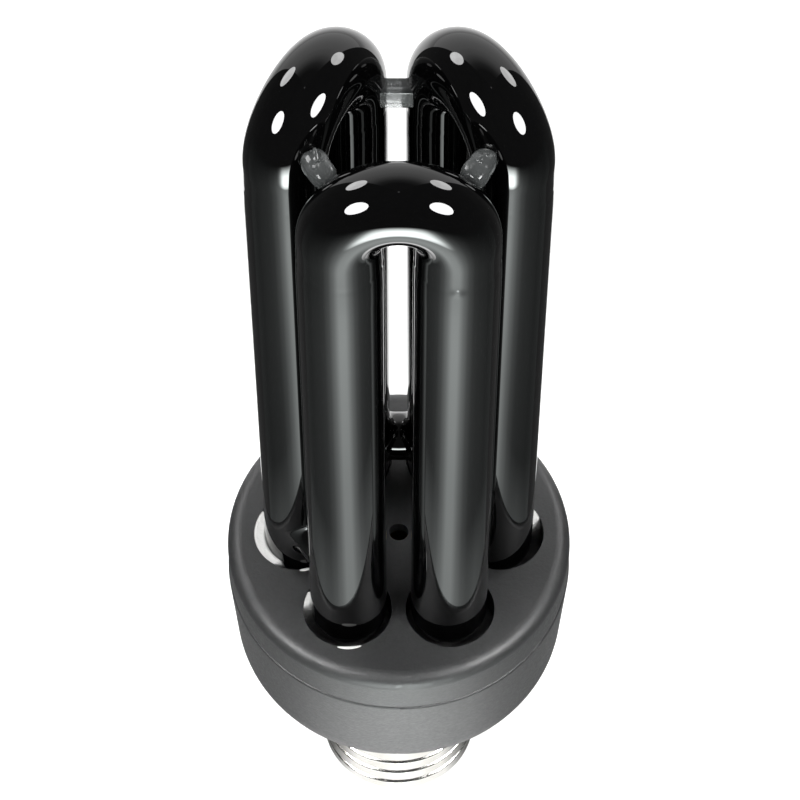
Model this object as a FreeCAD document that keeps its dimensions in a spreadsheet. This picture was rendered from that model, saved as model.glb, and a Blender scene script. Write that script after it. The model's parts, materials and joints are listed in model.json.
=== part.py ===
import FreeCAD
import Part
import Sketcher
import math
import os
import re

# Black-light lamp: three black glass U-tubes on a moulded housing with an E27 screw cap.
# The lamp stands on its axis, +Z up. The origin is the tip of the centre contact.

# Driving dimensions in millimetres, angles in degrees.
DIMENSIONS = {
    # screw cap
    "thread_dia": 26.2,
    "thread_root_dia": 24.7,
    "thread_pitch": 3.629,
    "thread_foot": 7.71,
    "thread_turns": 4.5,
    "thread_start_deg": 195.0,
    "ridge_width": 2.6,
    "thread_clear": 0.4595,
    "shell_wall": 0.3,
    "shell_foot": 4.4,
    "shell_taper": 2.0,
    "shell_mouth_dia": 20.0,
    "shell_rim_dia": 27.2,
    "shell_rim_height": 1.2,
    "insulator_face_dia": 11.2,
    "insulator_head": 5.0,
    "contact_dia": 9.6,
    "contact_wall": 1.0,
    "contact_hole_dia": 2.4,
    "solder_dia": 4.4,
    "solder_drop": 0.3,
    # housing cup
    "cup_height": 36.06,
    "cup_draft": 0.99,
    "cup_wall": 1.7,
    "cup_edge_round": 0.4,
    "shoulder_height": 17.16,
    "shoulder_round": 9.45,
    "throat_dia": 30.0,
    "throat_height": 5.0,
    "throat_round": 5.0,
    "collar_dia": 28.6,
    "neck_clear": 0.6,
    "neck_wall": 1.5,
    "neck_fit": 0.1,
    "rib_width": 1.9,
    "rib_reach": 3.4,
    "rib_length": 7.6,
    # tube cover
    "cover_height": 7.94,
    "cover_step": 0.18,
    "cover_plate": 2.1,
    "cover_round": 2.27,
    "seam_gap": 0.2,
    "lip_depth": 3.6,
    "lip_wall": 1.25,
    "lip_fit": 0.15,
    "vent_dia": 3.12,
    "hole_offset": 0.862,
    "hole_clear": 0.99,
    "socket_wall": 0.95,
    "socket_clear": 0.365,
    "socket_depth": 8.5,
    "post_dia": 3.0,
    "post_inset": 0.2,
    # glass vessel
    "tube_dia": 12.0,
    "leg_pitch": 15.75,
    "bend_offset": 13.11,
    "leg_height": 97.23,
    "dome_drop": 0.47,
    "taper_length": 4.25,
    "spring_dia": 11.67,
    "apex_dia": 10.49,
    "bridge_dia": 7.75,
    "bridge_height": 7.56,
    "bridge_round": 1.35,
    # silicone pads
    "back_pad_width": 7.56,
    "back_pad_depth": 2.7,
    "back_pad_height": 3.9,
    "back_pad_reach": 11.5,
    "back_pad_foot": -1.95,
    "back_pad_round": 0.6,
    "side_pad_width": 8.4,
    "side_pad_depth": 3.4,
    "side_pad_height": 7.0,
    "side_pad_reach": 12.2,
    "side_pad_rise": 4.5,
    # cement in the sockets: depths below the cover's top
    "cement_floor": 6.05,
    "left_cement_top": 0.47,
    "front_cement_top": 1.89,
    "right_cement_top": 1.32,
    # circuit board and what is on it
    "board_clear": 0.48,
    "board_thick": 1.6,
    "board_drop": 15.0,
    "capacitor_dia": 9.5,
    "capacitor_length": 17.0,
    "capacitor_round": 0.8,
    "core_width": 12.3,
    "core_depth": 5.7,
    "core_height": 11.4,
    "core_limb": 3.4,
    "core_yoke": 1.7,
    "bobbin_fit": 0.1,
    "bobbin_wall": 0.65,
    "bobbin_flange": 10.0,
    "winding_height": 5.6,
    "winding_depth": 9.2,
    "winding_round": 1.0,
    "toroid_dia": 9.1,
    "toroid_section": 2.6,
    "coil_wire_dia": 0.6,
    "coil_fit": 0.04,
    "transistor_width": 7.6,
    "transistor_thick": 2.6,
    "transistor_height": 10.4,
    "transistor_lead": 2.8,
    "transistor_spread": 8.5,
    "lead_pitch": 2.2,
    "diode_dia": 2.5,
    "diode_length": 4.9,
    "diode_pitch": 3.2,
    "resistor_dia": 2.3,
    "resistor_length": 6.0,
    "resistor_pitch": 3.4,
    "trigger_dia": 1.8,
    "trigger_length": 3.8,
    "part_lead_dia": 0.7,
    "part_lead_reach": 1.2,
    "part_lead_bend": 0.5,
    "resonant_width": 8.5,
    "resonant_depth": 4.4,
    "resonant_height": 7.6,
    "coupling_width": 6.6,
    "coupling_depth": 3.6,
    "coupling_height": 6.2,
    "film_round": 0.8,
    # wires
    "lead_dia": 1.3,
    "fuse_dia": 3.2,
    "fuse_length": 9.5,
    "fuse_foot": 36.0,
    "neutral_dia": 1.0,
    "neutral_reach": 9.2,
    "neutral_bend": 1.5,
    "notch_width": 1.4,
    "notch_height": 3.0,
    "electrode_wire_dia": 0.6,
    "electrode_wire_pitch": 2.8,
}

# Places of the board's parts on the board, from the lamp's axis.
BOARD_PLACES = {
    "capacitor": (0.9, 9.9),
    "choke": (-10.9, -4.3),
    "toroid": (4.9, -10.4),
    "transistors": (14.2, 1.4),
    "diodes": (-8.7, 8.1),
    "resistors": (-4.7, -14.6),
    "trigger": (13.7, -9.0),
    "resonant": (9.9, 13.2),
    "coupling": (-15.6, 4.3),
}
for name, (x, y) in BOARD_PLACES.items():
    DIMENSIONS[name + "_x"] = x
    DIMENSIONS[name + "_y"] = y

# Sizes that follow from the driving ones. The cap is as tall as its thread needs, and the housing
# as wide as the six legs need.
DERIVED = {
    "thread_length": "thread_pitch * thread_turns + ridge_width / 2",
    "cap_height": "thread_foot + thread_length + thread_clear + shell_rim_height",
    "tube_hole_dia": "tube_dia + 2 * hole_clear",
    "hole_circle": "2 * sqrt(leg_pitch ^ 2 / 4 + bend_offset ^ 2) + 2 * hole_offset",
    "socket_reach": "hole_circle / 2 + tube_hole_dia / 2 + socket_wall",
    "cup_dia": "2 * (socket_reach + socket_clear + lip_wall + lip_fit + cup_wall)",
    "shoulder_dia": "cup_dia - 2 * cup_draft",
    "cover_dia": "cup_dia - 2 * cover_step",
    "board_dia": "cup_dia - 2 * (cup_wall + lip_fit + lip_wall + board_clear)",
    "post_circle": "board_dia - post_dia - 2 * post_inset",
}
SIZES = {**DIMENSIONS, **{name: "=" + text for name, text in DERIVED.items()}}

# Heights along the axis, as formulas of the driving dimensions.
CAP_TOP = "cap_height"
SEAM = "(cap_height + cup_height)"
COVER_TOP = "(cap_height + cup_height + cover_height)"
BOARD_TOP = f"({COVER_TOP} - board_drop)"
BOARD_UNDER = f"({COVER_TOP} - board_drop - board_thick)"
LIP_FOOT = f"({SEAM} - lip_depth)"
CONTACT_TOP = "(solder_drop + contact_wall)"
INSULATOR_TOP = "(shell_foot + shell_taper + insulator_head)"
NECK_FOOT = f"({INSULATOR_TOP} + neck_clear)"
SHELL_BORE = "(thread_root_dia / 2 - shell_wall)"
MOUTH = "(cup_dia / 2 - cup_wall)"

BEND_ANGLES = (0, 120, 240)
BEND_SECTIONS = 13

doc = FreeCAD.newDocument("BlackLightLamp")
sheet = doc.addObject("Spreadsheet::Sheet", "Dims")
for row, (name, size) in enumerate(SIZES.items(), start=1):
    sheet.set(f"A{row}", name)
    sheet.set(f"B{row}", str(size))
    sheet.setAlias(f"B{row}", name)
doc.recompute()


def cells(text):
    """The formula with every size read from its cell."""
    def cell(word):
        return "Dims." + word.group() if word.group() in SIZES else word.group()
    return re.sub(r"[a-z][a-z_]*", cell, text)


def value(text):
    """The formula's number for the sizes in the sheet."""
    return float(sheet.evalExpression(cells(text)))


def bind(thing, prop, text):
    thing.setExpression(prop, cells(text))


def place(thing, x, y, z):
    for axis, text in zip("xyz", (x, y, z)):
        bind(thing, "Placement.Base." + axis, text)
    return thing


def turn_to(thing, axis, angle):
    """Turns a piece about its own foot, before it is placed."""
    thing.Placement = FreeCAD.Placement(FreeCAD.Vector(), FreeCAD.Rotation(axis, angle))


def block(name, size, corner):
    piece = doc.addObject("Part::Box", name)
    for prop, text in zip(("Length", "Width", "Height"), size):
        bind(piece, prop, text)
    return place(piece, *corner)


def centred(name, size, x, y, z):
    """A block centred on x and y, with its foot at z."""
    return block(name, size, (f"{x} - ({size[0]}) / 2", f"{y} - ({size[1]}) / 2", z))


def rod(name, diameter, height, foot):
    piece = doc.addObject("Part::Cylinder", name)
    bind(piece, "Radius", f"({diameter}) / 2")
    bind(piece, "Height", height)
    return place(piece, *foot)


def lying_rod(name, diameter, length, start):
    """A rod along +X from its start."""
    piece = doc.addObject("Part::Cylinder", name)
    turn_to(piece, FreeCAD.Vector(0, 1, 0), 90)
    bind(piece, "Radius", f"({diameter}) / 2")
    bind(piece, "Height", length)
    return place(piece, *start)


def fused(name, pieces):
    whole = doc.addObject("Part::MultiFuse", name)
    whole.Shapes = pieces
    return whole


def group(name, pieces):
    whole = doc.addObject("Part::Compound", name)
    whole.Links = pieces
    return whole


def cut(name, base, tool):
    rest = doc.addObject("Part::Cut", name)
    rest.Base = base
    rest.Tool = tool
    return rest


def shaped(name, shape):
    piece = doc.addObject("Part::Feature", name)
    piece.Shape = shape
    return piece


def plane(body, role):
    return next(part for part in body.Origin.OriginFeatures if part.Role == role)


def set_coordinate(sketch, kind, line, point, text):
    """Ties one coordinate of a line's start, point 1, or a circle's centre, point 3, to a formula."""
    size = value(text)
    if abs(size) < 1e-9:
        axis = -2 if kind == "DistanceX" else -1
        sketch.addConstraint(Sketcher.Constraint("PointOnObject", line, point, axis))
        return
    ends = (-1, 1, line, point) if size > 0 else (line, point, -1, 1)
    number = sketch.addConstraint(Sketcher.Constraint(kind, *ends, abs(size)))
    bind(sketch, f"Constraints[{number}]", text if size > 0 else f"-({text})")


def new_sketch(body, role, name, height="0"):
    sketch = body.newObject("Sketcher::SketchObject", name)
    sketch.AttachmentSupport = [(plane(body, role), "")]
    sketch.MapMode = "FlatFace"
    bind(sketch, "AttachmentOffset.Base.z", height)
    return sketch


def draw_outline(sketch, corners):
    """A closed outline of straight sides through corners given as formulas."""
    points = [FreeCAD.Vector(value(x), value(y), 0) for x, y in corners]
    count = len(points)
    for i in range(count):
        sketch.addGeometry(Part.LineSegment(points[i], points[(i + 1) % count]), False)
    for i in range(count):
        sketch.addConstraint(Sketcher.Constraint("Coincident", i, 2, (i + 1) % count, 1))
    for i, (x, y) in enumerate(corners):
        set_coordinate(sketch, "DistanceX", i, 1, x)
        set_coordinate(sketch, "DistanceY", i, 1, y)


def draw_circle(sketch, x, y, diameter):
    centre = FreeCAD.Vector(value(x), value(y), 0)
    circle = Part.Circle(centre, FreeCAD.Vector(0, 0, 1), value(diameter) / 2)
    line = sketch.addGeometry(circle, False)
    number = sketch.addConstraint(Sketcher.Constraint("Diameter", line, value(diameter)))
    bind(sketch, f"Constraints[{number}]", diameter)
    set_coordinate(sketch, "DistanceX", line, 3, x)
    set_coordinate(sketch, "DistanceY", line, 3, y)


def turned(label, corners):
    """A round piece, from its half section as (radius, height) corners."""
    body = doc.addObject("PartDesign::Body", label)
    sketch = new_sketch(body, "XZ_Plane", label + "_section")
    draw_outline(sketch, corners)
    turn = body.newObject("PartDesign::Revolution", label + "_turn")
    turn.Profile = sketch
    turn.ReferenceAxis = (sketch, ["V_Axis"])
    turn.Angle = 360
    doc.recompute()
    return body


def round_edges(body, name, radius, circles):
    """Rounds the circular edges with the given (radius, height)."""
    base = body.Tip
    names = []
    for number, edge in enumerate(base.Shape.Edges, start=1):
        if not isinstance(edge.Curve, Part.Circle):
            continue
        for r, z in circles:
            same_radius = abs(edge.Curve.Radius - value(r)) < 1e-4
            if same_radius and abs(edge.Curve.Center.z - value(z)) < 1e-4:
                names.append(f"Edge{number}")
    rounding = body.newObject("PartDesign::Fillet", name)
    rounding.Base = (base, names)
    bind(rounding, "Radius", radius)
    doc.recompute()


def repeat(body, name, feature, sketch, count):
    """Repeats a feature evenly round the lamp's axis."""
    pattern = body.newObject("PartDesign::PolarPattern", name)
    pattern.Originals = [feature]
    pattern.Axis = (sketch, ["N_Axis"])
    pattern.Angle = 360
    pattern.Occurrences = count
    body.Tip = pattern
    doc.recompute()


def raised(body, name, sketch, length):
    """A pad from its sketch down towards the cap."""
    pad = body.newObject("PartDesign::Pad", name)
    pad.Profile = sketch
    pad.Reversed = True
    bind(pad, "Length", length)
    doc.recompute()
    return pad


def leg_solid():
    """One leg about its own axis: domed foot, straight tube, and a slight taper to the bend."""
    radius = value("tube_dia / 2")
    dome = value(f"{COVER_TOP} - dome_drop")
    spring = value(f"{COVER_TOP} + leg_height")
    taper = spring - value("taper_length")

    def point(r, z):
        return FreeCAD.Vector(r, 0, z)

    foot = point(0, dome - radius)
    corner = radius * math.sqrt(0.5)
    arc = Part.Arc(foot, point(corner, dome - corner), point(radius, dome)).toShape()
    outline = [
        point(radius, dome),
        point(radius, taper),
        point(value("spring_dia / 2"), spring),
        point(0, spring),
        foot,
    ]
    sides = [Part.makeLine(a, b) for a, b in zip(outline, outline[1:])]
    section = Part.Face(Part.Wire([arc] + sides))
    return section.revolve(FreeCAD.Vector(), FreeCAD.Vector(0, 0, 1), 360)


def bend_solid():
    """The half-round bend of the front tube, thinner towards its top."""
    half_pitch = value("leg_pitch / 2")
    apex = value("apex_dia / 2")
    spring = value("spring_dia / 2")
    centre = FreeCAD.Vector(0, -value("bend_offset"), value(f"{COVER_TOP} + leg_height"))
    start = centre + FreeCAD.Vector(half_pitch, 0, 0)
    sections = []
    for i in range(BEND_SECTIONS):
        turn = math.pi * i / (BEND_SECTIONS - 1)
        radius = apex + (spring - apex) * math.cos(turn) ** 4
        ring = Part.Wire(Part.makeCircle(radius, start, FreeCAD.Vector(0, 0, 1)))
        ring.rotate(centre, FreeCAD.Vector(0, 1, 0), -math.degrees(turn))
        sections.append(ring)
    return Part.makeLoft(sections, True, False)


def leg_foot(bend_angle, side):
    """Where a leg's axis stands: side -1 or 1 of a bend turned about the lamp's axis."""
    foot = FreeCAD.Vector(side * value("leg_pitch / 2"), -value("bend_offset"), 0)
    return FreeCAD.Rotation(FreeCAD.Vector(0, 0, 1), bend_angle).multVec(foot)


def hole_foot(bend_angle, side):
    """The centre of the cover's hole for a leg: the six holes are evenly spaced on a circle."""
    arm = FreeCAD.Vector(value("hole_circle / 2"), 0, 0)
    return FreeCAD.Rotation(FreeCAD.Vector(0, 0, 1), bend_angle - 90 + 30 * side).multVec(arm)


def bridge_solid(start, end):
    """A fused glass tube between the axes of two neighbouring legs."""
    rise = FreeCAD.Vector(0, 0, value(f"{COVER_TOP} + bridge_height"))
    way = end - start
    return Part.makeCylinder(value("bridge_dia / 2"), way.Length, start + rise, way)


def round_bridges(vessel):
    """Rounds the glass where the bridges run into the legs."""
    low = value(f"{COVER_TOP} + bridge_height - bridge_dia")
    high = value(f"{COVER_TOP} + bridge_height + bridge_dia")
    joints = [edge for edge in vessel.Edges
              if low < edge.BoundBox.ZMin and edge.BoundBox.ZMax < high
              and edge.BoundBox.ZLength > value("bridge_round")]
    return vessel.makeFillet(value("bridge_round"), joints)


def make_vessel():
    leg = leg_solid()
    bend = bend_solid()
    pieces = []
    for angle in BEND_ANGLES:
        for side in (-1, 1):
            stood = leg.copy()
            stood.translate(leg_foot(angle, side))
            pieces.append(stood)
        arched = bend.copy()
        arched.rotate(FreeCAD.Vector(), FreeCAD.Vector(0, 0, 1), angle)
        pieces.append(arched)
    pieces.append(bridge_solid(leg_foot(240, -1), leg_foot(120, 1)))
    pieces.append(bridge_solid(leg_foot(0, -1), leg_foot(240, 1)))
    vessel = pieces[0].multiFuse(pieces[1:]).removeSplitter()
    return shaped("discharge_tube", round_bridges(vessel.Solids[0]))


def make_back_pad(vessel):
    """A rounded block of silicone between the two bends at the back, cut to the glass it bonds."""
    size = ("back_pad_width", "back_pad_depth", "back_pad_height")
    foot = f"{COVER_TOP} + leg_height + back_pad_foot"
    core = centred("back_pad_block", size, "0", "back_pad_reach", foot)
    doc.recompute()
    rounding = doc.addObject("Part::Fillet", "back_pad_rounded")
    rounding.Base = core
    radius = value("back_pad_round")
    rounding.Edges = [(number + 1, radius, radius) for number in range(len(core.Shape.Edges))]
    cut("bond_pad_back", rounding, vessel)


def make_side_pad(label, angle, vessel):
    """A blob of silicone in the gap between two bends, cut to the glass it bonds."""
    blob = doc.addObject("Part::Ellipsoid", label + "_blob")
    turn_to(blob, FreeCAD.Vector(0, 0, 1), angle)
    bind(blob, "Radius1", "side_pad_height / 2")
    bind(blob, "Radius2", "side_pad_depth / 2")
    bind(blob, "Radius3", "side_pad_width / 2")
    level = f"{COVER_TOP} + leg_height + side_pad_rise"
    place(blob, f"side_pad_reach * cos({angle})", f"side_pad_reach * sin({angle})", level)
    cut(label, blob, vessel)


def make_cover():
    bottom = f"({SEAM} + seam_gap)"
    lip = f"({MOUTH} - lip_fit)"
    under = f"({COVER_TOP} - cover_plate)"
    body = turned("tube_cover", [
        ("vent_dia / 2", COVER_TOP),
        ("cover_dia / 2", COVER_TOP),
        ("cover_dia / 2", bottom),
        (lip, bottom),
        (lip, LIP_FOOT),
        (f"{lip} - lip_wall", LIP_FOOT),
        (f"{lip} - lip_wall", under),
        ("vent_dia / 2", under),
    ])
    round_edges(body, "cover_rounding", "cover_round", [("cover_dia / 2", COVER_TOP)])
    sketch = new_sketch(body, "XY_Plane", "socket_rings", under)
    draw_circle(sketch, "hole_circle / 2", "0", "tube_hole_dia + 2 * socket_wall")
    socket = raised(body, "socket", sketch, "socket_depth - cover_plate")
    repeat(body, "socket_ring", socket, sketch, 2 * len(BEND_ANGLES))
    sketch = new_sketch(body, "XY_Plane", "post_section", under)
    draw_circle(sketch, "0", "-post_circle / 2", "post_dia")
    post = raised(body, "post", sketch, "board_drop - cover_plate")
    repeat(body, "post_ring", post, sketch, len(BEND_ANGLES))
    sketch = new_sketch(body, "XY_Plane", "tube_hole_section", COVER_TOP)
    draw_circle(sketch, "hole_circle / 2", "0", "tube_hole_dia")
    hole = body.newObject("PartDesign::Pocket", "tube_hole")
    hole.Profile = sketch
    bind(hole, "Length", "socket_depth")
    doc.recompute()
    repeat(body, "tube_hole_ring", hole, sketch, 2 * len(BEND_ANGLES))
    return body


def make_cup():
    neck = f"({SHELL_BORE} - neck_fit)"
    shoulder = f"({CAP_TOP} + shoulder_height)"
    throat = f"({CAP_TOP} + throat_height)"
    rest = f"({MOUTH} - lip_wall)"
    inner_shoulder = "(shoulder_dia / 2 - cup_wall)"
    inner_level = f"({shoulder} + cup_wall / 2)"
    body = turned("housing_cup", [
        (f"{neck} - neck_wall", NECK_FOOT),
        (neck, NECK_FOOT),
        (neck, CAP_TOP),
        ("collar_dia / 2", CAP_TOP),
        ("throat_dia / 2", throat),
        ("shoulder_dia / 2", shoulder),
        ("cup_dia / 2", SEAM),
        (MOUTH, SEAM),
        (MOUTH, LIP_FOOT),
        (rest, LIP_FOOT),
        (rest, f"({LIP_FOOT} - cup_wall)"),
        (inner_shoulder, inner_level),
        ("throat_dia / 2 - cup_wall", f"({throat} + cup_wall)"),
        (f"{neck} - neck_wall", CAP_TOP),
    ])
    round_edges(body, "edge_rounding", "cup_edge_round", [("cup_dia / 2", SEAM)])
    round_edges(body, "shoulder_rounding", "shoulder_round", [("shoulder_dia / 2", shoulder)])
    round_edges(body, "inner_rounding", "shoulder_round - cup_wall", [(inner_shoulder, inner_level)])
    round_edges(body, "throat_rounding", "throat_round", [("throat_dia / 2", throat)])
    sketch = new_sketch(body, "XY_Plane", "rib_section", BOARD_UNDER)
    inner = f"({rest} - rib_reach)"
    draw_outline(sketch, [
        (inner, "-rib_width / 2"),
        (MOUTH, "-rib_width / 2"),
        (MOUTH, "rib_width / 2"),
        (inner, "rib_width / 2"),
    ])
    rib = raised(body, "rib", sketch, "rib_length")
    repeat(body, "rib_ring", rib, sketch, 4)
    sketch = new_sketch(body, "XY_Plane", "notch_section", NECK_FOOT)
    draw_outline(sketch, [
        (f"{neck} - 2 * neck_wall", "-notch_width / 2"),
        (f"{neck} + neck_wall", "-notch_width / 2"),
        (f"{neck} + neck_wall", "notch_width / 2"),
        (f"{neck} - 2 * neck_wall", "notch_width / 2"),
    ])
    notch = body.newObject("PartDesign::Pocket", "notch")
    notch.Profile = sketch
    notch.Reversed = True
    bind(notch, "Length", "notch_height")
    doc.recompute()
    return body


def thread_ridge():
    """The rolled knuckle ridge, one bump swept up the shell."""
    root = value("thread_root_dia / 2 - shell_wall / 2")
    crest = value("thread_dia / 2")
    half = value("ridge_width / 2")
    low = FreeCAD.Vector(root, 0, -half)
    high = FreeCAD.Vector(root, 0, half)
    bump = Part.Arc(low, FreeCAD.Vector(crest, 0, 0), high)
    section = Part.Wire([bump.toShape(), Part.makeLine(high, low)])
    rise = value("thread_pitch * thread_turns")
    path = Part.Wire(Part.makeHelix(value("thread_pitch"), rise, root))
    ridge = path.makePipeShell([section], True, True)
    ridge.rotate(FreeCAD.Vector(), FreeCAD.Vector(0, 0, 1), value("thread_start_deg"))
    ridge.translate(FreeCAD.Vector(0, 0, value("thread_foot")))
    return shaped("thread_ridge", ridge)


def make_shell():
    taper = "(shell_foot + shell_taper)"
    rim = f"({CAP_TOP} - shell_rim_height)"
    body = turned("shell_sheet", [
        ("shell_mouth_dia / 2", "shell_foot"),
        ("thread_root_dia / 2", taper),
        ("thread_root_dia / 2", rim),
        ("shell_rim_dia / 2", f"({rim} + shell_wall)"),
        ("shell_rim_dia / 2", CAP_TOP),
        (SHELL_BORE, CAP_TOP),
        (SHELL_BORE, f"({taper} + shell_wall / 2)"),
        ("shell_mouth_dia / 2", "(shell_foot + shell_wall)"),
    ])
    whole = doc.addObject("Part::Fuse", "cap_shell")
    whole.Base = body
    whole.Tool = thread_ridge()


def make_cap_foot():
    """What closes the shell below: the insulator, its contact plate and the solder on it."""
    taper = "(shell_foot + shell_taper)"
    turned("cap_insulator", [
        ("contact_hole_dia / 2", CONTACT_TOP),
        ("insulator_face_dia / 2", CONTACT_TOP),
        ("shell_mouth_dia / 2", "shell_foot"),
        ("shell_mouth_dia / 2", "(shell_foot + shell_wall)"),
        (SHELL_BORE, f"({taper} + shell_wall / 2)"),
        (SHELL_BORE, INSULATOR_TOP),
        ("contact_hole_dia / 2", INSULATOR_TOP),
    ])
    turned("centre_contact", [
        ("contact_hole_dia / 2", "solder_drop"),
        ("contact_dia / 2", "solder_drop"),
        ("contact_dia / 2", CONTACT_TOP),
        ("contact_hole_dia / 2", CONTACT_TOP),
    ])
    turned("contact_solder", [
        ("0", "0"),
        ("contact_hole_dia / 2", "0"),
        ("solder_dia / 2", "solder_drop"),
        ("contact_hole_dia / 2", "solder_drop"),
        ("contact_hole_dia / 2", CONTACT_TOP),
        ("0", CONTACT_TOP),
    ])


def bent_wire(start, corner, top, bend_name, diameter_name):
    """A wire that runs level along X from its start, then bends straight up to its top."""
    bend = value(bend_name)
    way = math.copysign(bend, corner - start.x)
    turn = FreeCAD.Vector(corner - way, start.y, start.z)
    centre = turn + FreeCAD.Vector(0, 0, bend)
    middle = centre + FreeCAD.Vector(way, 0, -bend) * math.sqrt(0.5)
    rise = FreeCAD.Vector(corner, start.y, start.z + bend)
    end = FreeCAD.Vector(corner, start.y, top)
    arc = Part.Arc(turn, middle, rise).toShape()
    path = Part.Wire([Part.makeLine(start, turn), arc, Part.makeLine(rise, end)])
    section = Part.Wire(Part.makeCircle(value(diameter_name) / 2, start, FreeCAD.Vector(way, 0, 0)))
    return path.makePipeShell([section], True, False)


def make_leads():
    """The supply wires, the fusible resistor in the live one, and the electrode wires."""
    fuse_top = "(fuse_foot + fuse_length)"
    lower = rod("live_lower", "lead_dia", f"fuse_foot - {CONTACT_TOP}", ("0", "0", CONTACT_TOP))
    upper = rod("live_upper", "lead_dia", f"{BOARD_UNDER} - {fuse_top}", ("0", "0", fuse_top))
    group("live_lead", [lower, upper])
    rod("fusible_resistor", "fuse_dia", "fuse_length", ("0", "0", "fuse_foot"))

    level = value(f"{NECK_FOOT} + notch_height / 2")
    start = FreeCAD.Vector(value(SHELL_BORE), 0, level)
    wire = bent_wire(start, value("neutral_reach"), value(BOARD_UNDER), "neutral_bend", "neutral_dia")
    shaped("neutral_lead", wire)


def make_electrode_wires(vessel):
    """Two wires from the foot of each electrode leg down to the board."""
    wires = []
    for angle, side in ((0, 1), (120, -1)):
        foot = leg_foot(angle, side)
        for step in (-1, 1):
            start = foot + FreeCAD.Vector(step * value("electrode_wire_pitch / 2"), 0, value(BOARD_TOP))
            length = value(f"{COVER_TOP} - dome_drop - {BOARD_TOP}")
            wire = Part.makeCylinder(value("electrode_wire_dia / 2"), length, start)
            wires.append(wire.cut(vessel.Shape))
    return shaped("tube_leads", Part.makeCompound(wires))


def make_cement(vessel, wires):
    """A cement plug in each socket, sloping up to one side where the cement was laid high."""
    slopes = {
        (240, 1): ("left_cement_top", 205),
        (0, -1): ("front_cement_top", 215),
        (120, -1): ("right_cement_top", 25),
    }
    radius = value("tube_hole_dia / 2")
    bottom = value(f"{COVER_TOP} - socket_depth")
    floor = value(f"{COVER_TOP} - cement_floor")
    plugs = []
    for angle in BEND_ANGLES:
        for side in (-1, 1):
            foot = hole_foot(angle, side)
            top, heading = slopes.get((angle, side), ("cement_floor", 0))
            high = value(f"{COVER_TOP} - {top}")
            plug = Part.makeCylinder(radius, high - bottom, foot + FreeCAD.Vector(0, 0, bottom))
            slope = math.degrees(math.atan2(high - floor, 2 * radius))
            side_length = 4 * radius
            corner = FreeCAD.Vector(-side_length / 2, -side_length / 2, 0)
            room = Part.makeBox(side_length, side_length, side_length, corner)
            room.rotate(FreeCAD.Vector(), FreeCAD.Vector(0, 1, 0), -slope)
            room.rotate(FreeCAD.Vector(), FreeCAD.Vector(0, 0, 1), heading)
            room.translate(foot + FreeCAD.Vector(0, 0, (high + floor) / 2))
            plug = plug.cut(room).cut(vessel.Shape).cut(wires.Shape)
            plugs.extend(plug.Solids)
    return shaped("tube_cement", Part.makeCompound(plugs))


def axial_part(name, diameter, length, x, y):
    """A part that lies under the board along X on its two bent leads."""
    level = f"({BOARD_UNDER} - {diameter} / 2)"
    body = lying_rod(name + "_body", diameter, length, (f"{x} - {length} / 2", y, level))
    pieces = [body]
    for number, side in enumerate((-1, 1), start=1):
        start = FreeCAD.Vector(value(f"{x} + {side} * {length} / 4"), value(y), value(level))
        corner = value(f"{x} + {side} * ({length} / 2 + part_lead_reach)")
        wire = bent_wire(start, corner, value(BOARD_UNDER), "part_lead_bend", "part_lead_dia")
        pieces.append(shaped(f"{name}_lead_{number}", wire))
    return fused(name, pieces)


def axial_set(label, diameter, length, pitch, count, place_name):
    """Like parts side by side along Y."""
    parts = []
    for i in range(count):
        y = f"{place_name}_y + {i} * {pitch}"
        parts.append(axial_part(f"{label}_{i + 1}", diameter, length, f"{place_name}_x", y))
    group(label, parts)


def film_capacitor(name):
    """A dipped block capacitor standing under the board with its edges rounded."""
    size = (f"{name}_width", f"{name}_depth", f"{name}_height")
    core = centred(name + "_block", size, name + "_x", name + "_y", f"{BOARD_UNDER} - {name}_height")
    doc.recompute()
    rounding = doc.addObject("Part::Fillet", name + "_capacitor")
    rounding.Base = core
    radius = value("film_round")
    below = value(f"{BOARD_UNDER} - film_round")
    rounding.Edges = [(number, radius, radius) for number, edge in enumerate(core.Shape.Edges, start=1)
                      if edge.BoundBox.ZMin < below]


def make_bulk_capacitor():
    foot = ("capacitor_x", "capacitor_y", f"{BOARD_UNDER} - capacitor_length")
    can = rod("capacitor_can", "capacitor_dia", "capacitor_length", foot)
    doc.recompute()
    rounding = doc.addObject("Part::Fillet", "bulk_capacitor")
    rounding.Base = can
    radius = value("capacitor_round")
    rounding.Edges = [(number, radius, radius) for number, edge in enumerate(can.Shape.Edges, start=1)
                      if isinstance(edge.Curve, Part.Circle)]


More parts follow.
